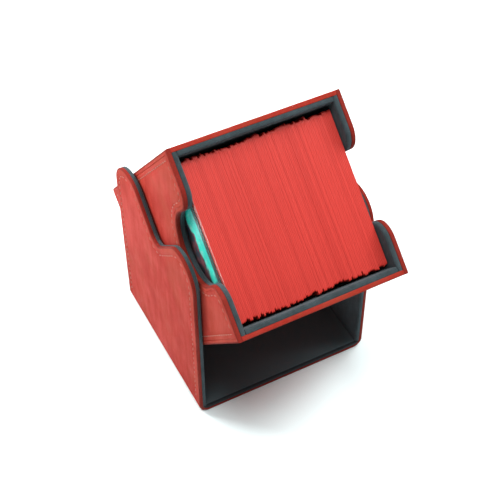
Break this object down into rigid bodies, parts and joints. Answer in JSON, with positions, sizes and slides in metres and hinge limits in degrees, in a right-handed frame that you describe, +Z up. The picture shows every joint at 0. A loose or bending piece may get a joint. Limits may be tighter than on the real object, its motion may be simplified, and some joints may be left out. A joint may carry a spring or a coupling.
{
  "type": "card deck box",
  "caption": "Suede-covered card deck box: an open tray holding sleeved cards, tipped forward inside its U-shaped cover with finger notches.",
  "frame": {"origin": "middle of the flat underside of the cover, where the box stands", "axes": "+X to the right across the open front, +Y to the back, +Z up"},
  "size_m": [0.0844, 0.1285, 0.1358],
  "materials": {
    "suede": "matt suede-effect leatherette",
    "lining": "soft microfibre",
    "greyboard": "plain greyboard",
    "thread": "polyester sewing thread",
    "sleeve": "matt polypropylene film",
    "card": "coated card stock"
  },
  "bodies": {
    "cover": {"cover_base_skin": "suede", "cover_base_board": "greyboard", "cover_base_lining": "lining", "cover_base_liner_board": "greyboard", "cover_left_skin": "suede", "cover_left_board": "greyboard", "cover_left_lining": "lining", "cover_left_liner_board": "greyboard", "cover_right_skin": "suede", "cover_right_board": "greyboard", "cover_right_lining": "lining", "cover_right_liner_board": "greyboard", "cover_left_stitching": "thread", "cover_right_stitching": "thread"},
    "tray": {"tray_bottom_skin": "suede", "tray_bottom_board": "greyboard", "tray_bottom_lining": "lining", "tray_bottom_liner_board": "greyboard", "tray_left_skin": "suede", "tray_left_board": "greyboard", "tray_left_lining": "lining", "tray_left_liner_board": "greyboard", "tray_right_skin": "suede", "tray_right_board": "greyboard", "tray_right_lining": "lining", "tray_right_liner_board": "greyboard", "tray_front_skin": "suede", "tray_front_board": "greyboard", "tray_front_lining": "lining", "tray_front_liner_board": "greyboard", "tray_back_skin": "suede", "tray_back_board": "greyboard", "tray_back_lining": "lining", "tray_back_liner_board": "greyboard", "tray_left_stitching": "thread", "tray_right_stitching": "thread"},
    "deck": {"card_sleeves": "sleeve", "cards": "card"}
  },
  "joints": [
    {"name": "tray_tilt", "type": "hinge", "parent": "cover", "child": "tray", "pos_m": [0, -0.00155, 0.0056], "axis": [1, 0, 0], "range_deg": [-40.4, 49.6]},
    {"name": "deck_lift", "type": "slide", "parent": "tray", "child": "deck", "axis": [0, -0.6481, 0.7615], "range_m": [0, 0.1]}
  ]
}
